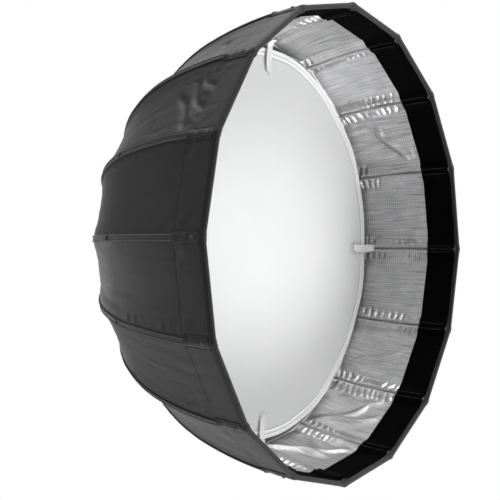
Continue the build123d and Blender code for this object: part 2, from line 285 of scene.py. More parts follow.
def tube_bits(centres, dirs, length, radius, sides=6, normal=None, squash_n=0.7):
    """Many small capsules (stitches): returns vertices and quads."""
    rings = np.array([-0.5, -0.36, 0.0, 0.36, 0.5])
    rad = np.array([0.25, 0.85, 1.0, 0.85, 0.25])
    C = np.asarray(centres, float)
    D = np.asarray(dirs, float)
    D = D / np.linalg.norm(D, axis=1, keepdims=True)
    Nn = np.asarray(normal, float)
    Nn = Nn - (Nn * D).sum(1, keepdims=True) * D
    Nn = Nn / np.linalg.norm(Nn, axis=1, keepdims=True)
    T = np.cross(D, Nn)
    ang = np.arange(sides) * 2 * math.pi / sides
    ca, sa = np.cos(ang), np.sin(ang)
    P = (
        C[:, None, None, :]
        + D[:, None, None, :] * (rings * length)[None, :, None, None]
        + T[:, None, None, :] * (rad[:, None] * ca[None, :])[None, :, :, None] * radius
        + Nn[:, None, None, :] * (rad[:, None] * sa[None, :])[None, :, :, None] * radius * squash_n
    )
    m, nr = len(C), len(rings)
    base = np.arange(m)[:, None, None] * nr * sides
    r = np.arange(nr - 1)[None, :, None] * sides
    j = np.arange(sides)[None, None, :]
    jn = (j + 1) % sides
    q = np.stack([base + r + j, base + r + jn, base + r + sides + jn, base + r + sides + j], -1).reshape(-1, 4)
    # end caps as quads round the ring (sides is 6: two quads)
    caps = []
    for rr, order in ((0, (3, 2, 1, 0)), (nr - 1, (0, 1, 2, 3))):
        b0 = (np.arange(m) * nr + rr) * sides
        caps.append(np.stack([b0 + order[0], b0 + order[1], b0 + order[2], b0 + order[3]], 1))
        o2 = (0, 5, 4, 3) if rr == 0 else (3, 4, 5, 0)
        caps.append(np.stack([b0 + o2[0], b0 + o2[1], b0 + o2[2], b0 + o2[3]], 1))
    return P.reshape(-1, 3), np.concatenate([q] + caps)


# --------------------------------------------------------------------------
# materials
# --------------------------------------------------------------------------
def new_mat(name):
    m = bpy.data.materials.new(name)
    m.use_nodes = True
    nt = m.node_tree
    b = nt.nodes["Principled BSDF"]
    return m, nt, b


def link(nt, a, b):
    nt.links.new(a, b)


def node(nt, kind, **kw):
    n = nt.nodes.new(kind)
    for k, v in kw.items():
        setattr(n, k, v)
    return n


def cloth_uv(nt, scale):
    uv = node(nt, "ShaderNodeUVMap", uv_map="Cloth")
    mp = node(nt, "ShaderNodeMapping")
    mp.inputs["Scale"].default_value = (scale, scale, scale)
    link(nt, uv.outputs["UV"], mp.inputs["Vector"])
    return mp.outputs["Vector"]


def obj_co(nt, scale=(1, 1, 1)):
    tc = node(nt, "ShaderNodeTexCoord")
    mp = node(nt, "ShaderNodeMapping")
    mp.inputs["Scale"].default_value = scale
    link(nt, tc.outputs["Object"], mp.inputs["Vector"])
    return mp.outputs["Vector"]


def ramp(nt, src, stops):
    r = node(nt, "ShaderNodeValToRGB")
    els = r.color_ramp.elements
    while len(els) < len(stops):
        els.new(0.5)
    for e, (p, c) in zip(els, stops):
        e.position = p
        e.color = (c, c, c, 1) if isinstance(c, (int, float)) else (*c, 1)
    link(nt, src, r.inputs["Fac"])
    return r.outputs["Color"]


def math_node(nt, op, a, b=None, clamp=False):
    n = node(nt, "ShaderNodeMath", operation=op, use_clamp=clamp)
    for i, x in enumerate((a, b)):
        if x is None:
            continue
        if isinstance(x, (int, float)):
            n.inputs[i].default_value = x
        else:
            link(nt, x, n.inputs[i])
    return n.outputs[0]


def wave(nt, vec, scale, direction="X", dist=0.0, detail=0.0):
    w = node(nt, "ShaderNodeTexWave", wave_type="BANDS", bands_direction=direction)
    w.inputs["Scale"].default_value = scale
    w.inputs["Distortion"].default_value = dist
    w.inputs["Detail"].default_value = detail
    link(nt, vec, w.inputs["Vector"])
    return w.outputs["Fac"]


def noise_tex(nt, vec, scale, detail=3.0, rough=0.55):
    n = node(nt, "ShaderNodeTexNoise")
    n.inputs["Scale"].default_value = scale
    n.inputs["Detail"].default_value = detail
    n.inputs["Roughness"].default_value = rough
    link(nt, vec, n.inputs["Vector"])
    return n.outputs["Fac"]


def add_bump(nt, b, height, strength, distance):
    bp = node(nt, "ShaderNodeBump")
    bp.inputs["Strength"].default_value = strength
    bp.inputs["Distance"].default_value = distance
    link(nt, height, bp.inputs["Height"])
    prev = b.inputs["Normal"].links[0].from_socket if b.inputs["Normal"].links else None
    if prev is not None:
        link(nt, prev, bp.inputs["Normal"])
    link(nt, bp.outputs["Normal"], b.inputs["Normal"])


def make_nylon():
    m, nt, b = new_mat("shell_nylon")
    uv = cloth_uv(nt, 1.0)
    weave = math_node(nt, "ADD", wave(nt, uv, 340.0, "X"), wave(nt, uv, 340.0, "Y"))
    cloud = noise_tex(nt, uv, 22.0, 4.0)
    fine = noise_tex(nt, uv, 900.0, 2.0)
    mix = math_node(nt, "ADD", math_node(nt, "MULTIPLY", cloud, 0.7), math_node(nt, "MULTIPLY", fine, 0.3))
    link(nt, ramp(nt, mix, [(0.3, (0.0125, 0.0125, 0.0130)), (0.7, (0.0230, 0.0230, 0.0240))]), b.inputs["Base Color"])
    link(nt, ramp(nt, cloud, [(0.25, 0.46), (0.75, 0.58)]), b.inputs["Roughness"])
    b.inputs["Specular IOR Level"].default_value = 0.50
    b.inputs["Sheen Weight"].default_value = 0.12
    b.inputs["Sheen Roughness"].default_value = 0.22
    b.inputs["Sheen Tint"].default_value = (0.75, 0.75, 0.78, 1)
    add_bump(nt, b, weave, 0.12, 0.0002)
    add_bump(nt, b, noise_tex(nt, uv, 60.0, 4.0), 0.25, 0.0006)
    return m


def make_silver():
    m, nt, b = new_mat("lining_silver")
    uv = cloth_uv(nt, 1.0)
    wx, wy = wave(nt, uv, 96.0, "X"), wave(nt, uv, 96.0, "Y")
    lines = math_node(nt, "MAXIMUM", math_node(nt, "POWER", wx, 5.0), math_node(nt, "POWER", wy, 5.0))
    fx, fy = wave(nt, uv, 330.0, "X"), wave(nt, uv, 330.0, "Y")
    weave = math_node(nt, "MULTIPLY", fx, fy)
    cloud = noise_tex(nt, uv, 26.0, 5.0, 0.6)
    long_v = node(nt, "ShaderNodeMapping")
    long_v.inputs["Scale"].default_value = (380.0, 24.0, 1.0)
    link(nt, uv, long_v.inputs["Vector"])
    streak = noise_tex(nt, long_v.outputs["Vector"], 1.0, 4.0, 0.6)
    c = math_node(nt, "ADD", math_node(nt, "MULTIPLY", cloud, 0.35), math_node(nt, "MULTIPLY", streak, 0.65))
    c = math_node(nt, "SUBTRACT", c, math_node(nt, "MULTIPLY", lines, 0.16))
    link(nt, ramp(nt, c, [(0.22, (0.23, 0.23, 0.233)), (0.62, (0.61, 0.61, 0.615))]), b.inputs["Base Color"])
    link(nt, ramp(nt, cloud, [(0.25, 0.26), (0.75, 0.40)]), b.inputs["Roughness"])
    b.inputs["Metallic"].default_value = 0.85
    add_bump(nt, b, lines, 0.55, 0.0004)
    add_bump(nt, b, weave, 0.25, 0.0002)
    add_bump(nt, b, streak, 0.75, 0.0008)
    add_bump(nt, b, noise_tex(nt, uv, 95.0, 4.0), 0.55, 0.0009)
    return m


def make_loop(name="band_loop", base=0.0014):
    m, nt, b = new_mat(name)
    uv = cloth_uv(nt, 1.0)
    fuzz = noise_tex(nt, uv, 1400.0, 2.0, 0.8)
    cloud = noise_tex(nt, uv, 35.0, 3.0)
    link(nt, ramp(nt, math_node(nt, "MULTIPLY", fuzz, cloud), [(0.1, base * 0.6), (0.5, base * 1.8)]), b.inputs["Base Color"])
    link(nt, ramp(nt, fuzz, [(0.2, 0.85), (0.8, 1.0)]), b.inputs["Roughness"])
    b.inputs["Specular IOR Level"].default_value = 0.02
    add_bump(nt, b, fuzz, 0.8, 0.0006)
    return m


def make_webbing(name, lo, hi, rough=0.62, spec=0.35, scale=260.0):
    m, nt, b = new_mat(name)
    uv = cloth_uv(nt, 1.0)
    ribs = wave(nt, uv, scale, "Y")
    dia = wave(nt, uv, scale * 0.7, "DIAGONAL")
    fine = noise_tex(nt, uv, 600.0, 3.0)
    w = math_node(nt, "ADD", math_node(nt, "MULTIPLY", ribs, 0.5), math_node(nt, "MULTIPLY", dia, 0.5))
    c = math_node(nt, "ADD", math_node(nt, "MULTIPLY", w, 0.6), math_node(nt, "MULTIPLY", fine, 0.4))
    link(nt, ramp(nt, c, [(0.2, lo), (0.8, hi)]), b.inputs["Base Color"])
    link(nt, ramp(nt, fine, [(0.2, rough - 0.08), (0.8, rough + 0.1)]), b.inputs["Roughness"])
    b.inputs["Specular IOR Level"].default_value = spec
    b.inputs["Sheen Weight"].default_value = 0.15
    add_bump(nt, b, w, 0.5, 0.0004)
    return m


def make_diffuser():
    m, nt, b = new_mat("diffuser_cloth")
    uv = cloth_uv(nt, 1.0)
    weave = math_node(nt, "ADD", wave(nt, uv, 420.0, "X"), wave(nt, uv, 420.0, "Y"))
    cloud = noise_tex(nt, uv, 6.0, 3.0)
    link(nt, ramp(nt, cloud, [(0.3, (0.640, 0.643, 0.647)), (0.7, (0.670, 0.672, 0.675))]), b.inputs["Base Color"])
    link(nt, ramp(nt, cloud, [(0.3, 0.62), (0.7, 0.70)]), b.inputs["Roughness"])
    b.inputs["Specular IOR Level"].default_value = 0.3
    b.inputs["Sheen Weight"].default_value = 0.1
    # painted glow: a faint white emission makes the diffuser cloth give off light of its own, standing in for light
    # shining through it from behind; the cloth is no lamp
    b.inputs["Emission Color"].default_value = (1, 1, 1, 1)
    b.inputs["Emission Strength"].default_value = 0.02
    add_bump(nt, b, weave, 0.06, 0.0002)
    return m


def make_white_tape(name, lo, hi):
    m, nt, b = new_mat(name)
    uv = cloth_uv(nt, 1.0)
    tw = wave(nt, uv, 300.0, "DIAGONAL")
    fine = noise_tex(nt, uv, 500.0, 3.0)
    c = math_node(nt, "ADD", math_node(nt, "MULTIPLY", tw, 0.5), math_node(nt, "MULTIPLY", fine, 0.5))
    link(nt, ramp(nt, c, [(0.2, lo), (0.8, hi)]), b.inputs["Base Color"])
    link(nt, ramp(nt, fine, [(0.2, 0.7), (0.8, 0.85)]), b.inputs["Roughness"])
    add_bump(nt, b, tw, 0.3, 0.0003)
    return m


def make_thread(name, lo, hi):
    m, nt, b = new_mat(name)
    v = obj_co(nt)
    n = noise_tex(nt, v, 700.0, 2.0)
    link(nt, ramp(nt, n, [(0.3, lo), (0.7, hi)]), b.inputs["Base Color"])
    link(nt, ramp(nt, n, [(0.3, 0.5), (0.7, 0.65)]), b.inputs["Roughness"])
    add_bump(nt, b, n, 0.3, 0.0002)
    return m


def make_metal(name, col, rough, brushed=(1, 60, 1), metallic=1.0):
    m, nt, b = new_mat(name)
    v = obj_co(nt, brushed)
    n = noise_tex(nt, v, 40.0, 5.0, 0.7)
    w = noise_tex(nt, obj_co(nt), 90.0, 3.0)
    lo = tuple(x * 0.82 for x in col)
    link(nt, ramp(nt, n, [(0.3, lo), (0.7, col)]), b.inputs["Base Color"])
    link(nt, ramp(nt, math_node(nt, "ADD", math_node(nt, "MULTIPLY", n, 0.6), math_node(nt, "MULTIPLY", w, 0.4)), [(0.3, rough * 0.8), (0.7, rough * 1.25)]), b.inputs["Roughness"])
    b.inputs["Metallic"].default_value = metallic
    add_bump(nt, b, n, 0.15, 0.0002)
    return m


def make_plastic(name, col, rough):
    m, nt, b = new_mat(name)
    v = obj_co(nt)
    grain = noise_tex(nt, v, 900.0, 2.0, 0.6)
    cloud = noise_tex(nt, v, 30.0, 3.0)
    lo = tuple(x * 0.8 for x in col)
    link(nt, ramp(nt, cloud, [(0.3, lo), (0.7, col)]), b.inputs["Base Color"])
    link(nt, ramp(nt, cloud, [(0.3, rough - 0.06), (0.7, rough + 0.08)]), b.inputs["Roughness"])
    add_bump(nt, b, grain, 0.35, 0.0003)
    return m


M_NYLON = make_nylon()
M_SILVER = make_silver()
M_LOOP = make_loop()
M_BIND = make_webbing("rim_binding", (0.006, 0.006, 0.0062), (0.017, 0.017, 0.0175), 0.7, 0.25)
M_SLEEVE = make_webbing("rib_sleeve", (0.010, 0.010, 0.0105), (0.024, 0.024, 0.025), 0.5, 0.45, 180.0)
M_POCKET = make_webbing("tip_pocket", (0.009, 0.009, 0.0093), (0.022, 0.022, 0.0225), 0.6, 0.4, 320.0)
M_ELASTIC = make_webbing("rear_elastic", (0.012, 0.012, 0.0125), (0.028, 0.028, 0.029), 0.75, 0.3, 200.0)
M_DIFF = make_diffuser()
M_DBIND = make_white_tape("diffuser_binding", (0.80, 0.80, 0.805), (0.88, 0.88, 0.88))
M_TAPE = make_white_tape("diffuser_tape", (0.50, 0.50, 0.505), (0.62, 0.62, 0.62))
M_THREAD_D = make_thread("thread_dark", (0.004, 0.004, 0.004), (0.010, 0.010, 0.010))
M_THREAD_B = make_thread("thread_band", (0.014, 0.014, 0.014), (0.030, 0.030, 0.030))
# grey thread whose light tone is partly a painted highlight: beside the sleeves it also stands in for the highlight
# along their edges
M_GREY_THREAD_AND_HIGHLIGHT = make_thread("thread_grey", (0.10, 0.10, 0.102), (0.20, 0.20, 0.20))
M_THREAD_S = make_thread("thread_seam", (0.05, 0.05, 0.05), (0.12, 0.12, 0.12))
# painted shade: a grey tape colour laid into the diffuser binding's two grooves as their shade
M_GROOVE_SHADE = make_white_tape("diffuser_groove_shade", (0.48, 0.48, 0.48), (0.56, 0.56, 0.56))
M_THREAD_W = make_thread("thread_white", (0.72, 0.72, 0.72), (0.85, 0.85, 0.85))

# --------------------------------------------------------------------------
# gores: black shell and silver lining
# --------------------------------------------------------------------------
S0 = s_at_rho(0.084)
S_LIN = 0.0660
S_BAND = S_END - 0.048
TAPE_A, TAPE_B = s_at_depth(0.1545), s_at_depth(0.1478)
HEM = 0.011
S_SEEN = s_at_depth(0.1560)
STITCH_S = S_END - 0.050


def columns(nw, ease=0.35):
    t = np.linspace(0, 1, nw)
    return t - ease * np.sin(2 * np.pi * t) / (2 * np.pi)


def rows(nv, s0, s1, extra=()):
    s = np.linspace(s0, s1, nv)
    for e in extra:
        s = s[np.abs(s - e).argsort().argsort() > 0] if False else s
    return np.unique(np.concatenate([s, np.asarray(extra, float)]))


def gore_points(k, S1, X1, OFF):
    """Points at arc lengths S1, shares X1 across and offsets OFF inside the flat gore."""
    A = [rib_line(TH[k], S1, 0.0), rib_line(TH[k] + PITCH, S1, 0.0)]
    _, _, psi = outer_at(S1)
    M = [np.cos(psi)[:, None] * e_r(t) + np.sin(psi)[:, None] * EY for t in (TH[k], TH[k] + PITCH)]
    X = X1[None, :, None]
    base = A[0][:, None, :] * (1 - X) + A[1][:, None, :] * X
    nrm = M[0][:, None, :] * (1 - X) + M[1][:, None, :] * X
    return base - nrm * OFF[:, :, None]


def grids(k, S1, X0):
    rho, _, _ = outer_at(S1)
    W = 2 * rho * math.sin(PITCH / 2)
    g = 0.00015 / W
    X = g[:, None] + X0[None, :] * (1 - 2 * g[:, None])
    S = np.repeat(S1[:, None], len(X0), 1)
    D = np.minimum(X, 1 - X) * W[:, None]
    XM = (X - 0.5) * W[:, None]
    return S, X, D, XM, W[:, None]


def folds(S, XM, lines):
    """Soft folds: each is (s, x, s, x, half width, height); positive goes in."""
    h = np.zeros_like(S)
    for s0, x0, s1, x1, w, a in lines:
        dx, ds = x1 - x0, s1 - s0
        L = math.hypot(dx, ds)
        u = ((XM - x0) * dx + (S - s0) * ds) / L**2
        v = ((XM - x0) * ds - (S - s0) * dx) / L
        v = v + 0.004 * np.sin(u * 5.0 + s0 * 90)
        end = smooth(u, -0.35, 0.15) * (1 - smooth(u, 0.85, 1.3))
        h = h + a * end * np.exp(-((v / w) ** 2))
    return h


SHELL_FOLDS = {
    # the gore between the third and fourth ribs is slack near its front corner
    2: [
        (S_END - 0.104, -0.012, S_END - 0.064, 0.048, 0.0062, 0.0040),
        (S_END - 0.090, -0.008, S_END - 0.052, 0.040, 0.0045, -0.0014),
        (S_END - 0.082, -0.025, S_END - 0.052, 0.018, 0.0054, 0.0034),
        (S_END - 0.070, -0.028, S_END - 0.046, 0.000, 0.0040, -0.0010),
        (S_END - 0.066, -0.036, S_END - 0.045, -0.012, 0.0044, 0.0022),
        (S_END - 0.150, 0.020, S_END - 0.122, 0.046, 0.0065, 0.0012),
    ],
    0: [(S_END - 0.110, -0.020, S_END - 0.075, 0.040, 0.007, 0.0034), (S_END - 0.088, -0.030, S_END - 0.056, 0.020, 0.0055, 0.0026)],
    1: [(S_END - 0.100, -0.010, S_END - 0.066, 0.042, 0.007, 0.0024)],
    5: [(S_END - 0.090, 0.046, S_END - 0.074, 0.024, 0.006, 0.0012)],
    9: [(S_END - 0.105, -0.010, S_END - 0.070, 0.040, 0.007, 0.0034)],
    13: [(S_END - 0.100, 0.020, S_END - 0.070, -0.040, 0.007, 0.0036), (S_END - 0.082, 0.000, S_END - 0.054, -0.036, 0.006, 0.0026)],
}


def shell_disp(k, S, X, D, XM, W):
    seed = 100 + 17 * k
    u = np.clip((S - S0) / (S_END - S0), 0, 1)
    m = smooth(D, 0.0062, 0.022)
    rim = 1 - 0.75 * smooth(S, S_END - 0.050, S_END - 0.012)
    sag = 0.0030 * np.sin(np.pi * X) * np.sin(np.pi * u) ** 0.8
    warp = 0.5 * fbm(S / 0.09, X * 2.2, seed + 5, 2)
    fine = 0.00030 * fbm(XM / 0.0062 + warp * 1.2, S / 0.085, seed, 3)
    tight = 0.0007 * np.maximum(0, noise(XM / 0.012 + warp * 1.2, S / 0.10 + 9, seed + 7) - 0.25)
    broad = 0.0005 * fbm(XM / 0.07, S / 0.25, seed + 31, 2)
    gate = 0.25 + 0.75 * smooth(noise(S / 0.06, np.where(X < 0.5, 0.0, 5.0) + k, seed + 61), 0.1, 0.5)
    pk = gate * smooth(D, 0.0045, 0.0090) * 0.00048 * fbm(S / 0.0085 + 0.3 * np.sign(X - 0.5), D / 0.012, seed + 41, 2) * np.exp(-(((D - 0.0115) / 0.0065) ** 2))
    drag = 0.0010 * np.sin((S + 0.9 * XM) / 0.0052 + 2 * warp) * bump(u, 0.93, 0.06) * bump(D, 0.018, 0.012)
    f = folds(S, XM, SHELL_FOLDS.get(k, []))
    return m * (sag + fine + tight + broad) * rim + pk * rim + m * f + m * drag * rim


LINING_FOLDS = {
    7: [
        (S_END - 0.140, -0.030, S_END - 0.070, -0.012, 0.0065, 0.0040),
        (S_END - 0.150, 0.000, S_END - 0.060, 0.020, 0.0060, 0.0044),
        (S_END - 0.120, 0.030, S_END - 0.056, 0.036, 0.0050, 0.0030),
    ],
    8: [
        (S_END - 0.150, -0.036, S_END - 0.080, 0.004, 0.0065, 0.0046),
        (S_END - 0.110, -0.004, S_END - 0.060, 0.034, 0.0060, 0.0040),
        (S_END - 0.135, 0.034, S_END - 0.090, 0.016, 0.0055, 0.0032),
    ],
    9: [
        (S_END - 0.130, -0.030, S_END - 0.064, 0.000, 0.0060, 0.0036),
        (S_END - 0.120, 0.026, S_END - 0.070, 0.034, 0.0050, 0.0026),
    ],
    10: [(S_END - 0.130, -0.020, S_END - 0.070, 0.010, 0.0060, 0.0026)],
    12: [(S_END - 0.140, -0.026, S_END - 0.066, -0.034, 0.0045, 0.0018)],
    11: [(S_END - 0.140, 0.030, S_END - 0.070, 0.022, 0.0045, 0.0018)],
}


def lining_off(k, S, X, D, XM, W, outer):
    """Offset of the lining's inner face from the flat gore."""
    seed = 900 + 23 * k
    u = np.clip((S - S_LIN) / (S_END - S_LIN), 0, 1)
    over_rod = 1 - smooth(D, 0.0040, 0.0210)
    base = 0.0042 + 0.0065 * over_rod
    closing = smooth(S, S_END - 0.0074, S_END - 0.0014)
    m = smooth(D, 0.0030, 0.018)
    warp = 0.5 * fbm(S / 0.07, X * 2.4, seed + 3, 2)
    fine = 0.00045 * fbm(XM / 0.0060 + warp * 1.5, S / 0.090, seed, 3)
    crease = 0.0011 * np.maximum(0, noise(XM / 0.010 + warp * 2.4, S / 0.10, seed + 11) - 0.1)
    broad = 0.0006 * fbm(XM / 0.05, S / 0.12, seed + 19, 2)
    side = np.where(X < 0.5, 0.0, 7.3)
    gate = smooth(noise(S / 0.030 + side, side + k, seed + 71), -0.35, 0.15)
    row = np.exp(-(((D - 0.0115) / 0.0060) ** 2))
    pk = -0.0030 * gate * row * np.maximum(0, np.sin(S / 0.00155 + 2.2 * noise(S / 0.02, side + k, seed + 72) + 260 * (D - 0.011) * noise(S / 0.05, side, seed + 73))) ** 2
    pk = pk + 0.00050 * fbm(S / 0.0052 + side, D / 0.014 + side, seed + 29, 2) * np.exp(-(((D - 0.0075) / 0.0055) ** 2))
    f = folds(S, XM, LINING_FOLDS.get(k, []))
    band = smooth(S, S_BAND - 0.010, S_BAND + 0.006)
    soft = (1 - 0.85 * band)
    off = base + m * (fine + crease + broad) * soft + pk * soft + m * f * (1 - band)
    off = np.maximum(off, outer + 0.0016)
    off = off * (1 - closing) + 0.0024 * closing
    notch = 0.0012 * np.exp(-((D / 0.0009) ** 2))
    return off - notch


shells, linings = [], []
for k in range(N):
    t = f"{k + 1:02d}"
    # shell
    S1 = rows(166, S0, S_END - 0.0006, (S0 + HEM, S0 + HEM + 0.0006, STITCH_S - 0.0006, STITCH_S, STITCH_S + 0.0006))
    X0 = columns(56)
    S, X, D, XM, W = grids(k, S1, X0)
    off = shell_disp(k, S, X, D, XM, W)
    hem = 1 - smooth(S, S0 + HEM - 0.0002, S0 + HEM + 0.0004)
    out = off - 0.0007 * hem + 0.00035 * bump(S, STITCH_S, 0.0011)
    A = gore_points(k, S1, X0 * 0 + X0, out) if False else None

    def pts(OFF):
        A0, A1 = rib_line(TH[k], S1, 0.0), rib_line(TH[k] + PITCH, S1, 0.0)
        _, _, psi = outer_at(S1)
        M0 = np.cos(psi)[:, None] * e_r(TH[k]) + np.sin(psi)[:, None] * EY
        M1 = np.cos(psi)[:, None] * e_r(TH[k] + PITCH) + np.sin(psi)[:, None] * EY
        Xx = X[:, :, None]
        return (A0[:, None] * (1 - Xx) + A1[:, None] * Xx) - (M0[:, None] * (1 - Xx) + M1[:, None] * Xx) * OFF[:, :, None]

    A, B = pts(out), pts(off + 0.0005 + 0.0007 * hem)
    hem_idx = ((S1[:-1] + S1[1:]) / 2 < S0 + HEM)
    fi = np.repeat(np.where(hem_idx, 2, 0)[:, None], len(X0) - 1, 1).reshape(-1)
    ob = thin_sheet(f"gore_shell_{t}", A, B, XM + 0.2, S, [M_NYLON, M_SILVER, M_ELASTIC], back=1, edge=2, front_idx=fi)
    orient(ob, None)
    gore_blend(ob, k)
    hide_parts(f"gore_{t}")
    shells.append(ob)

    # lining, with the loop band at the front and the diffuser's tape
    e = 0.0004
    S1 = rows(60, S_LIN, S_SEEN, tuple(np.linspace(S_SEEN, S_BAND, 74)) + tuple(np.linspace(S_BAND, S_END - 0.0012, 22)) + (S_BAND - e, S_BAND + e, TAPE_A - e, TAPE_A + e, TAPE_B - e, TAPE_B + e, S_END - 0.0074, S_END - 0.0055, S_END - 0.0040, S_END - 0.0028))
    X0 = columns(60)
    S, X, D, XM, W = grids(k, S1, X0)
    o_shell = shell_disp(k, S, X, D, XM, W)
    off = lining_off(k, S, X, D, XM, W, o_shell)
    band = ((S > S_BAND)).astype(float)
    tape = ((S > TAPE_A) & (S < TAPE_B)).astype(float)
    step = 0.0011 * smooth(S, S_BAND - e, S_BAND + e) + 0.0009 * tape
    inner = pts(off + step)
    outer = pts(off - 0.0005)
    mid = (S1[:-1] + S1[1:]) / 2
    row_idx = np.where(mid > S_BAND, 2, np.where((mid > TAPE_A) & (mid < TAPE_B), 3, 0))
    fi = np.repeat(row_idx[:, None], len(X0) - 1, 1).reshape(-1)
    ob = thin_sheet(f"gore_lining_{t}", inner, outer, XM + 0.2, S, [M_SILVER, M_NYLON, M_LOOP, M_TAPE], back=1, edge=1, front_idx=fi)
    orient(ob, None)
    gore_blend(ob, k)
    linings.append(ob)

    # tape bound over the front edge
    outer_leg = [(-0.0058, -0.0006), (-0.0056, -0.0012), (-0.0036, -0.0013), (-0.0012, -0.0013), (0.0003, -0.0010), (0.0010, 0.0000)]
    front = [(0.0013, 0.0012), (0.0013, 0.0026)]
    inner_leg = [(0.0008, 0.0), (-0.0006, 0.0), (-0.0018, 0.0), (-0.0030, 0.0), (-0.0036, -0.0004)]
    X0 = columns(48)
    S, X, D, XM, W = grids(k, np.full(1, S_END), X0)
    rows_p = []
    for al_, de_ in outer_leg + front:
        rows_p.append((np.full(len(X0), al_), np.full(len(X0), de_)))
    for al_, de_ in inner_leg:
        sc = np.full((1, len(X0)), S_END + min(al_, 0.0))
        Wc = 2 * outer_at(sc[0, :1])[0][:, None] * math.sin(PITCH / 2)
        o = lining_off(k, sc, X, D, XM, Wc, shell_disp(k, sc, X, D, XM, Wc))[0] + 0.0011 + 0.0009 + de_
        rows_p.append((np.full(len(X0), al_), o))
    alongs = np.array([r_[0] for r_ in rows_p])
    depth = np.array([r_[1] for r_ in rows_p])
    n_out = len(outer_leg)
    wavy = 0.00035 * noise(XM[0] / 0.022, XM[0] * 0 + k, 55) * smooth(D[0], 0.003, 0.012)
    alongs[:3] += wavy
    alongs[-3:] += wavy[::-1]
    _, _, psi_e = outer_at(np.array([S_END]))
    m0 = np.cos(psi_e[0]) * e_r(TH[k]) + np.sin(psi_e[0]) * EY
    m1 = np.cos(psi_e[0]) * e_r(TH[k] + PITCH) + np.sin(psi_e[0]) * EY
    t0 = np.sin(psi_e[0]) * e_r(TH[k]) - np.cos(psi_e[0]) * EY
    t1 = np.sin(psi_e[0]) * e_r(TH[k] + PITCH) - np.cos(psi_e[0]) * EY
    p0, p1 = rib_line(TH[k], np.array([S_END]), 0.0)[0], rib_line(TH[k] + PITCH, np.array([S_END]), 0.0)[0]
    xx = X[0][None, :, None]

    def tape_pts(extra):
        da, dd = np.gradient(alongs, axis=0), np.gradient(depth, axis=0)
        ln = np.hypot(da, dd)
        al = alongs + dd / ln * extra
        de = depth - da / ln * extra
        nrm = m0 * (1 - xx) + m1 * xx
        tan = t0 * (1 - xx) + t1 * xx
        return p0 * (1 - xx) + p1 * xx - nrm * de[:, :, None] + tan * al[:, :, None]

    A, B = tape_pts(0.00030), tape_pts(-0.00030)
    arc = np.concatenate([[0], np.cumsum(np.hypot(np.diff(alongs[:, 20]), np.diff(depth[:, 20])))])
    ob = thin_sheet(f"rim_binding_{t}", A, B, np.repeat(XM, len(rows_p), 0), np.repeat(arc[:, None], len(X0), 1), [M_BIND])
    orient(ob, None)
    gore_blend(ob, k)

# --------------------------------------------------------------------------
# what is sewn on each rib: sleeve, tip pocket, eyelet, stitches
# --------------------------------------------------------------------------
def rib_strip(k, s, x, h):
    """Points over rib k: s along, x to the side (signed), h outside the fabric."""
    rho, y, psi = outer_at(s)
    base = rho[:, None] * e_r(TH[k]) + y[:, None] * EY
    m0 = np.cos(psi)[:, None] * e_r(TH[k]) + np.sin(psi)[:, None] * EY
    ma, mb = TH[k] + PITCH / 2, TH[k] - PITCH / 2
    ta = np.array([-math.sin(ma), 0, math.cos(ma)])
    tb = np.array([math.sin(mb), 0, -math.cos(mb)])
    xp, xn = np.maximum(x, 0), np.maximum(-x, 0)
    P = base[:, None, :] + xp[..., None] * ta + xn[..., None] * tb + m0[:, None, :] * h[..., None]
    return P


def strip_piece(name, k, s, xs, top, bottom, mats, wander=None, idx=None):
    X = np.repeat(xs[None, :], len(s), 0)
    if wander is not None:
        X = X + wander[:, None]
    A, B = rib_strip(k, s, X, top), rib_strip(k, s, X, bottom)
    ob = thin_sheet(name, A, B, X + 0.05, np.repeat(s[:, None], len(xs), 1), mats, front_idx=idx)
    orient(ob, None)
    return ob


def lining_at(k, s, d):
    """Inner face of the lining at arc lengths s, signed distance d from rib k's plane."""
    g = k if d > 0 else (k - 1) % N
    rho, y, psi = outer_at(s)
    W = 2 * rho * math.sin(PITCH / 2)
    x = abs(d) / W if d > 0 else 1 - abs(d) / W
    S, X, D, XM, WW = s[:, None], x[:, None], np.full((len(s), 1), abs(d)), ((x - 0.5) * W)[:, None], W[:, None]
    off = lining_off(g, S, X, D, XM, WW, shell_disp(g, S, X, D, XM, WW))[:, 0]
    off = off + 0.0011 * (s > S_BAND)
    a, b = TH[g], TH[g] + PITCH
    m = (np.cos(psi)[:, None] * e_r(a) + np.sin(psi)[:, None] * EY) * (1 - x)[:, None] + (
        np.cos(psi)[:, None] * e_r(b) + np.sin(psi)[:, None] * EY
    ) * x[:, None]
    P = rib_line(a, s, 0.0) * (1 - x)[:, None] + rib_line(b, s, 0.0) * x[:, None] - m * off[:, None]
    return P, -m


def tangent(k, s):
    _, _, psi = outer_at(s)
    return np.sin(psi)[:, None] * e_r(TH[k]) - np.cos(psi)[:, None] * EY


def stitch_object(name, parts, mats, body=None):
    vs, fs, ix, n = [], [], [], 0
    for P, Dr, Nn, L, R, mi in parts:
        v, f = tube_bits(P, Dr, L, R, normal=Nn)
        vs.append(v), fs.append(f + n), ix.append(np.full(len(f), mi))
        n += len(v)
    ob = mesh_object(name, np.concatenate(vs), np.concatenate(fs), None, mats, np.concatenate(ix))
    if body:
        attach(ob, body)
    return ob


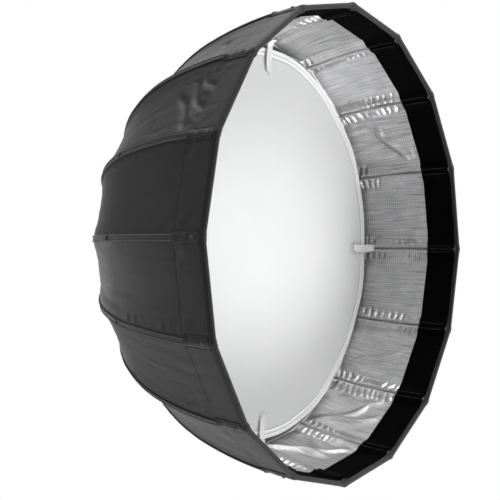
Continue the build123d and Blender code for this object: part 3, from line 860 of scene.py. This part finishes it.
def torus_mesh(name, centre, axis, R, r, mats, seg=20, ring=8, disc=True):
    axis = axis / np.linalg.norm(axis)
    a = np.cross(axis, EY)
    a = a / np.linalg.norm(a)
    b = np.cross(axis, a)
    u = np.arange(seg) * 2 * np.pi / seg
    v = np.arange(ring) * 2 * np.pi / ring
    dirs = np.cos(u)[:, None] * a + np.sin(u)[:, None] * b
    P = centre + dirs[:, None, :] * (R + r * np.cos(v))[None, :, None] + axis * (r * np.sin(v))[None, :, None]
    i, j = np.arange(seg)[:, None], np.arange(ring)[None, :]
    i2, j2 = (i + 1) % seg, (j + 1) % ring
    F = np.stack([i * ring + j, i2 * ring + j, i2 * ring + j2, i * ring + j2], -1).reshape(-1, 4)
    ob = mesh_object(name, P.reshape(-1, 3), F, None, mats)
    orient(ob, None)
    return ob


M_KNOT = make_thread("tip_knot", (0.06, 0.06, 0.06), (0.13, 0.13, 0.13))

for k in range(N):
    t = f"{k + 1:02d}"
    rib = "rib_" + t
    seed = 400 + k
    # sleeve tape over the seam
    s = np.linspace(S0 - 0.001, S_END - 0.0455, 170)
    xs = np.array([-4.3, -4.1, -3.8, -3.5, -3.1, -2.5, -1.5, -0.6, 0, 0.6, 1.5, 2.5, 3.1, 3.5, 3.8, 4.1, 4.3]) * 1e-3
    wob = 0.00045 * noise(s / 0.045, s * 0 + k, seed) + 0.0002 * noise(s / 0.012, s * 0 + 5 + k, seed)
    ax = np.abs(xs)
    piping = 0.00095 * np.exp(-(((ax - 0.0036) / 0.00055) ** 2))
    ridge = 0.0006 * np.exp(-((ax / 0.0018) ** 2))
    lump = 0.00022 * fbm(s[:, None] / 0.007, xs[None, :] / 0.004 + k, seed + 50, 2)
    top = 0.00125 + piping[None, :] - ridge[None, :] * 0.4 + lump
    top = top - 0.0003 * (ax > 0.0042)[None, :]
    ob = strip_piece(f"rib_sleeve_{t}", k, s, xs, top, np.full_like(top, 0.00045), [M_SLEEVE], wob)
    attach(ob, rib)
    # tip pocket
    s = np.unique(np.concatenate([np.linspace(S_END - 0.0480, S_END - 0.0075, 40), [S_END - 0.0476, S_END - 0.0079]]))
    xs = np.array([-9.0, -8.7, -8.2, -7.6, -6.6, -5.2, -3.4, -1.2, 0, 1.2, 3.4, 5.2, 6.6, 7.6, 8.2, 8.7, 9.0]) * 1e-3
    ax = np.abs(xs)
    edge = -0.0004 * np.exp(-(((ax - 0.0074) / 0.0007) ** 2))
    over = 0.0019 * (1 - smooth(ax, 0.0040, 0.0072))[None, :] * (1 - 0.75 * smooth(s, S_END - 0.0450, S_END - 0.0390))[:, None]
    lump = 0.00030 * fbm(s[:, None] / 0.008, xs[None, :] / 0.006 + k, seed + 80, 2)
    ends = 0.0004 * (bump(s, S_END - 0.0472, 0.0006) + bump(s, S_END - 0.0083, 0.0006))
    top = 0.0010 + edge[None, :] + over + lump + ends[:, None]
    bot = 0.0004 + over
    ob = strip_piece(f"tip_pocket_{t}", k, s, xs, top, bot, [M_POCKET])
    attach(ob, rib)
    # eyelet where the rod's tip is tied in
    se = np.array([S_END - 0.0165])
    c = rib_strip(k, se, np.zeros((1, 1)), np.full((1, 1), 0.0020))[0, 0]
    _, _, ps = outer_at(se)
    ax0 = np.cos(ps[0]) * e_r(TH[k]) + np.sin(ps[0]) * EY
    ob = torus_mesh(f"tip_eyelet_{t}", c, ax0, 0.0017, 0.0009, [M_KNOT])
    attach(ob, rib)
    # stitches
    parts = []
    nrm = lambda ss: np.cos(outer_at(ss)[2])[:, None] * e_r(TH[k]) + np.sin(outer_at(ss)[2])[:, None] * EY
    ss = np.arange(S0 + 0.003, S_END - 0.050, 0.0036)
    # light-grey stitch rows beside each sleeve: real stitching, made light enough to carry a painted highlight along
    # the sleeve's edges
    for side in (-1, 1):
        w_s = 0.00045 * noise(ss / 0.045, ss * 0 + k, seed) + 0.0002 * noise(ss / 0.012, ss * 0 + 5 + k, seed)
        P = rib_strip(k, ss, (side * 0.0036 + w_s)[:, None], np.full((len(ss), 1), 0.00235))[:, 0]
        parts.append((P, tangent(k, ss), nrm(ss), 0.0029, 0.00042, 1))
    sp = np.arange(S_END - 0.0465, S_END - 0.0085, 0.0028)
    for side in (-1, 1):
        P = rib_strip(k, sp, np.full((len(sp), 1), side * 0.0074), np.full((len(sp), 1), 0.0010))[:, 0]
        parts.append((P, tangent(k, sp), nrm(sp), 0.0020, 0.00030, 0))
    for sc in (S_END - 0.0462, S_END - 0.0300, S_END - 0.0232):
        xc = np.arange(-0.0066, 0.0067, 0.0022)
        sc_ = np.full(len(xc), sc)
        hh = 0.0012 + (0.0019 if sc < S_END - 0.045 else 0.0005) * (1 - smooth(np.abs(xc), 0.0040, 0.0072))
        P = rib_strip(k, sc_, xc[:, None], hh[:, None])[:, 0]
        P = np.array([rib_strip(k, sc_[i : i + 1], xc[i : i + 1][:, None], hh[i : i + 1][:, None])[0, 0] for i in range(len(xc))])
        tt = np.repeat(np.cross(tangent(k, sc_[:1]), nrm(sc_[:1])), len(xc), 0)
        parts.append((P, tt, nrm(sc_), 0.0017, 0.00032, 0))
    # bartack part way along the seam
    sb = s_at_depth(0.1900) + np.arange(-3, 4) * 0.00075
    P = rib_strip(k, sb, np.zeros((len(sb), 1)), np.full((len(sb), 1), 0.0016))[:, 0]
    parts.append((P, np.repeat(np.cross(tangent(k, sb[:1]), nrm(sb[:1])), len(sb), 0), nrm(sb), 0.0078, 0.00042, 0))
    # inside: two rows beside the seam on the lining, then two on the band
    sl = np.arange(S_LIN + 0.004, S_BAND - 0.002, 0.0042)
    sbd = np.arange(S_BAND + 0.003, S_END - 0.008, 0.0032)
    for dd_ in (-0.0024, 0.0024):
        P, nn = lining_at(k, sl, dd_)
        parts.append((P, tangent(k, sl), nn, 0.0026, 0.00036, 2))
    for dd_ in (-0.0046, 0.0046):
        P, nn = lining_at(k, sbd, dd_)
        parts.append((P, tangent(k, sbd), nn, 0.0023, 0.00034, 3))
    stitch_object(f"rib_stitches_{t}", parts, [M_THREAD_D, M_GREY_THREAD_AND_HIGHLIGHT, M_THREAD_S, M_THREAD_B], rib)

# folded tape at each corner of the rim
for k in range(N):
    t = f"{k + 1:02d}"
    xs = np.array([-4.6, -4.4, -3.6, -2.4, -1.2, 0, 1.2, 2.4, 3.6, 4.4, 4.6]) * 1e-3
    ta = np.array([-math.sin(TH[k] + PITCH / 2), 0, math.cos(TH[k] + PITCH / 2)])
    tb = np.array([math.sin(TH[k] - PITCH / 2), 0, -math.cos(TH[k] - PITCH / 2)])
    _, _, psi_e = outer_at(np.array([S_END]))
    m0 = np.cos(psi_e[0]) * e_r(TH[k]) + np.sin(psi_e[0]) * EY
    t0 = np.sin(psi_e[0]) * e_r(TH[k]) - np.cos(psi_e[0]) * EY
    p0 = rib_line(TH[k], np.array([S_END]), 0.0)[0]
    al_, de_ = [], []
    for a_, d_ in [(-0.0088, -0.0009), (-0.0060, -0.0017), (-0.0030, -0.0019), (-0.0006, -0.0018), (0.0010, -0.0010), (0.0018, 0.0006), (0.0019, 0.0024)]:
        al_.append(a_), de_.append(d_)
    Wr = 2 * RIM_RHO * math.sin(PITCH / 2)
    for a_ in (0.0012, -0.0003, -0.0018, -0.0032, -0.0041):
        sc = np.array([[S_END + min(a_, 0.0)]])
        o = lining_off(k, sc, np.array([[0.0025 / Wr]]), np.array([[0.0025]]), np.array([[0.0]]), np.array([[Wr]]), np.zeros((1, 1)))[0, 0]
        al_.append(a_), de_.append(o + 0.0027)
    al_, de_ = np.array(al_), np.array(de_)
    da, dd = np.gradient(al_), np.gradient(de_)
    ln = np.hypot(da, dd)
    sides = np.maximum(xs, 0)[:, None] * ta + np.maximum(-xs, 0)[:, None] * tb

    def wrap(extra):
        al = al_ + dd / ln * extra
        de = de_ - da / ln * extra
        return p0 + sides[None, :, :] - m0 * de[:, None, None] + t0 * al[:, None, None]

    arc = np.concatenate([[0], np.cumsum(np.hypot(np.diff(al_), np.diff(de_)))])
    ob = thin_sheet(f"rim_corner_{t}", wrap(0.00028), wrap(-0.00022), np.repeat(xs[None], len(al_), 0) + 0.3, np.repeat(arc[:, None], len(xs), 1), [M_BIND])
    orient(ob, None)
    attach(ob, "rib_" + t)

# rows of stitches along the rim, on each gore
for k in range(N):
    t = f"{k + 1:02d}"
    parts = []
    W_e = 2 * RIM_RHO * math.sin(PITCH / 2)
    for sc, extra, pitch in ((STITCH_S, 0.0004, 0.0036), (S_END - 0.0038, 0.0017, 0.0034)):
        rho_c = float(outer_at(np.array([sc]))[0][0])
        Wc = 2 * rho_c * math.sin(PITCH / 2)
        lim = 0.0095
        d_ = np.arange(lim, Wc - lim, pitch)
        X = (d_ / Wc)[None, :]
        S = np.full_like(X, sc)
        D, XM = np.minimum(X, 1 - X) * Wc, (X - 0.5) * Wc
        off = shell_disp(k, S, X, D, XM, np.full((1, 1), Wc))[0] - extra
        if extra > 0.001:
            off = np.full_like(off, -extra)
        _, _, ps = outer_at(np.array([sc]))
        a0, a1 = rib_line(TH[k], np.array([sc]), 0.0)[0], rib_line(TH[k] + PITCH, np.array([sc]), 0.0)[0]
        m0 = np.cos(ps[0]) * e_r(TH[k]) + np.sin(ps[0]) * EY
        m1 = np.cos(ps[0]) * e_r(TH[k] + PITCH) + np.sin(ps[0]) * EY
        x = X[0][:, None]
        P = a0 * (1 - x) + a1 * x - (m0 * (1 - x) + m1 * x) * off[:, None]
        Dr = np.repeat((a1 - a0)[None, :], len(P), 0)
        parts.append((P, Dr, np.repeat((m0 + m1)[None, :] / 2, len(P), 0), pitch * 0.66, 0.00028, 0))
    ob = stitch_object(f"rim_stitches_{t}", parts, [M_THREAD_D])
    gore_blend(ob, k)

# --------------------------------------------------------------------------
# inner diffuser: round cloth, bound edge, four tabs
# --------------------------------------------------------------------------
DR = 0.2760
r_rows = np.unique(
    np.concatenate([np.linspace(0.0008, 0.262, 46), [0.2645, 0.2652, 0.2658, 0.2664, 0.2672, 0.2686, 0.2698, 0.2704, 0.2710, 0.2716, 0.2728, 0.2742, 0.2752, 0.2758, DR]])
)
for k in range(N):
    t = f"{k + 1:02d}"
    n_a = 24
    al = TH[k] + np.linspace(0, 1, n_a) * PITCH
    R, AL = np.meshgrid(r_rows, al, indexing="ij")
    # a little slack: shallow waves that meet at the panel edges
    wave_y = 0.0009 * (R / DR) ** 2 * np.sin(AL * 8 + 0.7) + 0.0007 * (R / DR) ** 4 * np.sin(AL * 16 + 1.9)
    wave_y = wave_y + 0.0008 * np.sin(R / 0.085) * np.sin(AL * 3 + 0.4) * (R / DR)
    edge = smooth(R, 0.2650, 0.2662)
    groove = bump(R, 0.2707, 0.0006) * 0.0007
    roll = 0.0009 * edge - groove - 0.0006 * bump(R, 0.2653, 0.0006)
    yb = DIFF_Y + wave_y
    A = np.stack([R * np.cos(AL), yb - 0.0004 - roll, R * np.sin(AL)], -1)
    B = np.stack([R * np.cos(AL), yb + 0.0004 + 0.0006 * edge, R * np.sin(AL)], -1)
    mid = (r_rows[:-1] + r_rows[1:]) / 2
    ri = np.where(mid > 0.2658, 1, 0)
    # the rows in the binding's two grooves take the painted-shade grey
    ri = np.where((np.abs(mid - 0.2707) < 0.00035) | (np.abs(mid - 0.2655) < 0.0004), 2, ri)
    fi = np.repeat(ri[:, None], n_a - 1, 1).reshape(-1)
    ob = thin_sheet(f"inner_diffuser_panel_{t}", A, B, R * np.cos(AL), R * np.sin(AL), [M_DIFF, M_DBIND, M_GROOVE_SHADE], back=0, edge=1, front_idx=fi)
    orient(ob, None)
    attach(ob, "inner_diffuser")
    m = TH[k] + PITCH / 2
    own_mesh(ob)
    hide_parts("inner_diffuser")

tab_path = np.array(
    [(0.2345, -0.2022), (0.2380, -0.2016), (0.2430, -0.2003), (0.2520, -0.1996), (0.2620, -0.1996), (0.2665, -0.2001), (0.2740, -0.2003), (0.2790, -0.2003), (0.2825, -0.2009), (0.2850, -0.2025), (0.2866, -0.2050), (0.2876, -0.2085)]
)
M_WEB_W = make_white_tape("tab_webbing", (0.76, 0.76, 0.76), (0.88, 0.88, 0.88))
for i, ang in enumerate((90.0, 180.0, 270.0, 0.0)):
    th = math.radians(ang)
    seg = np.concatenate([[0], np.cumsum(np.linalg.norm(np.diff(tab_path, axis=0), axis=1))])
    tt = np.linspace(0, seg[-1], 40)
    pr, py = np.interp(tt, seg, tab_path[:, 0]), np.interp(tt, seg, tab_path[:, 1])
    xs = np.array([-6, -5.8, -5.3, -4.6, -3.3, -1.7, 0, 1.7, 3.3, 4.6, 5.3, 5.8, 6]) * 1e-3
    rise = 0.0003 * (np.abs(xs) > 0.0051) + 0.0002 * noise(xs / 0.006, xs * 0 + i, 60)
    side = np.array([-math.sin(th), 0, math.cos(th)])
    nrm2 = np.stack([-np.gradient(py), np.gradient(pr)], 1)
    nrm2 /= np.linalg.norm(nrm2, axis=1, keepdims=True)
    nv3 = nrm2[:, 0:1] * e_r(th) * 1.0 + nrm2[:, 1:2] * EY
    base = pr[:, None] * e_r(th) + py[:, None] * EY
    lump = 0.00025 * noise(tt / 0.009, tt * 0 + i, 61)
    taper = 0.55 + 0.45 * smooth(tt, 0.0, 0.012) - 0.25 * smooth(tt, seg[-1] - 0.012, seg[-1])
    sway = 0.0016 * np.sin(tt / seg[-1] * math.pi * 1.2 + i)
    C = base[:, None, :] + (xs[None, :, None] * taper[:, None, None] + sway[:, None, None]) * side
    A = C - nv3[:, None, :] * (0.00065 + rise[None, :, None] + lump[:, None, None])
    B = C + nv3[:, None, :] * 0.0
    U, V = np.repeat(xs[None, :], len(tt), 0) + 0.05, np.repeat(tt[:, None], len(xs), 1)
    ob = thin_sheet(f"diffuser_tab_{i + 1}", A, B, U, V, [M_WEB_W])
    orient(ob, None)
    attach(ob, "inner_diffuser")
    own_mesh(ob)
    # a bar of stitches where the tab is sewn to the bound edge
    parts = []
    for rr_ in (0.2678, 0.2735):
        x_ = np.arange(-0.0042, 0.0043, 0.0021)
        P = rr_ * e_r(th) + (-0.20135) * EY + x_[:, None] * side
        parts.append((P, np.repeat(side[None], len(x_), 0), np.repeat(-EY[None], len(x_), 0), 0.0016, 0.0003, 0))
    ob = stitch_object(f"tab_stitches_{i + 1}", parts, [M_THREAD_W])
    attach(ob, "inner_diffuser")
    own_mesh(ob)

# --------------------------------------------------------------------------
# finishes on the CAD nodes
# --------------------------------------------------------------------------
FINISH = {
    "mount_black": make_metal("mount_anodised", (0.022, 0.022, 0.023), 0.38, (30, 1, 30), 0.6),
    "lug_steel": make_metal("lug_plate", (0.62, 0.61, 0.59), 0.26, (1, 1, 1)),
    "hub_black": make_plastic("hub_plastic", (0.020, 0.020, 0.021), 0.48),
    "pin_steel": make_metal("pin_steel_b", (0.50, 0.50, 0.50), 0.30, (1, 1, 1)),
    "post_steel": make_metal("post_steel_b", (0.55, 0.55, 0.55), 0.24, (60, 1, 60)),
    "screw_steel": make_metal("screw_black", (0.10, 0.10, 0.102), 0.34, (1, 1, 1), 0.9),
    "runner_alu": make_metal("runner_anodised", (0.16, 0.16, 0.165), 0.36, (1, 40, 1), 0.9),
    "button_red": make_plastic("button_red_b", (0.42, 0.018, 0.016), 0.36),
    "rib_steel": make_metal("rib_rod", (0.46, 0.46, 0.47), 0.30, (60, 60, 60)),
    "strut_steel": make_metal("strut_plate", (0.40, 0.40, 0.41), 0.33, (50, 1, 50)),
    "shell_black": M_NYLON,
    "lining_silver": M_SILVER,
    "band_black": M_LOOP,
    "binding_black": M_BIND,
    "thread_grey": M_GREY_THREAD_AND_HIGHLIGHT,
    "diffuser_white": M_DIFF,
}
for name, o in nodes.items():
    for sl in o.material_slots:
        key = (sl.material.name if sl.material else "").split(".")[0]
        m = FINISH.get(key)
        if m is None:
            print("no finish for", name, key)
            m = FINISH["hub_black"]
        sl.material = m

# --------------------------------------------------------------------------
# stage, light, camera
# --------------------------------------------------------------------------
FLOOR_Z = -1.12
me = bpy.data.meshes.new("floor")
rim_pts = [(2.3 * math.cos(i * math.pi / 48), 2.3 * math.sin(i * math.pi / 48), FLOOR_Z) for i in range(96)]
me.from_pydata(rim_pts, [], [tuple(range(96))])
floor = bpy.data.objects.new("floor", me)
bpy.context.scene.collection.objects.link(floor)
mf, nt, b = new_mat("floor_pale")
b.inputs["Base Color"].default_value = (0.80, 0.80, 0.80, 1)
b.inputs["Roughness"].default_value = 0.9
floor.data.materials.append(mf)

world = bpy.data.worlds.new("studio")
bpy.context.scene.world = world
world.use_nodes = True
wn = world.node_tree
bg = wn.nodes["Background"]
bg.inputs["Color"].default_value = (1, 1, 1, 1)
lp = wn.nodes.new("ShaderNodeLightPath")
mx = wn.nodes.new("ShaderNodeMix")
mx.data_type = "FLOAT"
mx.inputs[3].default_value = 1.0
wn.links.new(lp.outputs["Is Camera Ray"], mx.inputs[0])
wn.links.new(mx.outputs[0], bg.inputs["Strength"])
tc = wn.nodes.new("ShaderNodeTexCoord")
sp = wn.nodes.new("ShaderNodeSeparateXYZ")
wn.links.new(tc.outputs["Generated"], sp.inputs[0])
rg = wn.nodes.new("ShaderNodeMapRange")
rg.inputs["From Min"].default_value = -1.0
rg.inputs["From Max"].default_value = 1.0
wn.links.new(sp.outputs["Z"], rg.inputs["Value"])
cr = wn.nodes.new("ShaderNodeValToRGB")
els = cr.color_ramp.elements
for p_, v_ in ((0.0, 0.20), (0.30, 0.16), (0.50, 0.20), (0.66, 0.34), (1.0, 0.80)):
    el_ = els.new(p_) if p_ not in (0.0, 1.0) else els[0 if p_ == 0.0 else -1]
    el_.color = (v_, v_, v_, 1)
wn.links.new(rg.outputs[0], cr.inputs["Fac"])
dt = wn.nodes.new("ShaderNodeVectorMath")
dt.operation = "DOT_PRODUCT"
dt.inputs[1].default_value = (0.80, 0.60, 0.0)
wn.links.new(tc.outputs["Generated"], dt.inputs[0])
br = wn.nodes.new("ShaderNodeMapRange")
br.interpolation_type = "SMOOTHSTEP"
br.inputs["From Min"].default_value = 0.80
br.inputs["From Max"].default_value = 0.98
br.inputs["To Min"].default_value = 0.0
br.inputs["To Max"].default_value = 1.6
wn.links.new(dt.outputs["Value"], br.inputs["Value"])
big = wn.nodes.new("ShaderNodeMath")
big.operation = "MAXIMUM"
wn.links.new(cr.outputs["Color"], big.inputs[0])
lowr = wn.nodes.new("ShaderNodeMapRange")
lowr.inputs["From Min"].default_value = -0.30
lowr.inputs["From Max"].default_value = 0.0
lowr.inputs["To Min"].default_value = 0.10
lowr.inputs["To Max"].default_value = 1.0
wn.links.new(sp.outputs["Z"], lowr.inputs["Value"])
prod = wn.nodes.new("ShaderNodeMath")
prod.operation = "MULTIPLY"
wn.links.new(br.outputs[0], prod.inputs[0])
wn.links.new(lowr.outputs[0], prod.inputs[1])
wn.links.new(prod.outputs[0], big.inputs[1])
wn.links.new(big.outputs[0], mx.inputs[2])


def area(name, loc, target, size, power, shape="RECTANGLE", size_y=None, spread=180):
    L = bpy.data.lights.new(name, "AREA")
    L.shape = shape
    L.size = size
    L.size_y = size_y or size
    L.energy = power
    L.spread = math.radians(spread)
    o = bpy.data.objects.new(name, L)
    bpy.context.scene.collection.objects.link(o)
    o.location = loc
    o.rotation_mode = "QUATERNION"
    o.rotation_quaternion = (Vector(target) - Vector(loc)).to_track_quat("-Z", "Y")
    return o


area("light_top", (0.5, 0.1, 2.0), (0.0, -0.15, 0.0), 1.8, 22.0, size_y=1.6)
area("light_front", (0.5, -3.0, 0.2), (0.0, -0.2, 0.0), 2.8, 7.0, size_y=2.8)
area("light_low", (0.30, -1.05, -0.90), (0.0, -0.275, 0.36), 1.1, 4.3, size_y=0.8, spread=60)
area("light_high", (0.30, -1.05, 1.05), (0.0, -0.275, -0.36), 1.2, 3.8, size_y=0.9, spread=64)
area("light_side", (-1.5, 2.1, -0.25), (-0.3, -0.3, 0.0), 1.1, 2.5, size_y=0.9)
area("light_left", (-2.6, -0.9, 0.1), (0.0, -0.2, 0.0), 1.6, 7.0, size_y=1.6)
area("light_rear", (0.25, 2.6, -0.42), (-0.25, -0.15, -0.05), 2.0, 8.0, size_y=0.6)

cam = bpy.data.cameras.new("camera")
co = bpy.data.objects.new("camera", cam)
bpy.context.scene.collection.objects.link(co)
cam.sensor_width = 36.0
cam.lens = 95.87
cam.clip_start, cam.clip_end = 0.05, 50.0
az, el, roll = math.radians(-54.51), math.radians(-0.68), math.radians(1.10)
back = Vector((math.sin(az) * math.cos(el), -math.cos(az) * math.cos(el), math.sin(el)))
right = Vector((math.cos(az), math.sin(az), 0.0))
up = right.cross(-back)
r2 = math.cos(roll) * right + math.sin(roll) * up
u2 = -math.sin(roll) * right + math.cos(roll) * up
M = Matrix((r2, u2, back)).transposed().to_4x4()
M.translation = Vector((-1.54197, RIM_Y - 0.93439, -0.03174))
co.matrix_world = M
bpy.context.scene.camera = co
bpy.context.scene.view_settings.view_transform = "Standard"
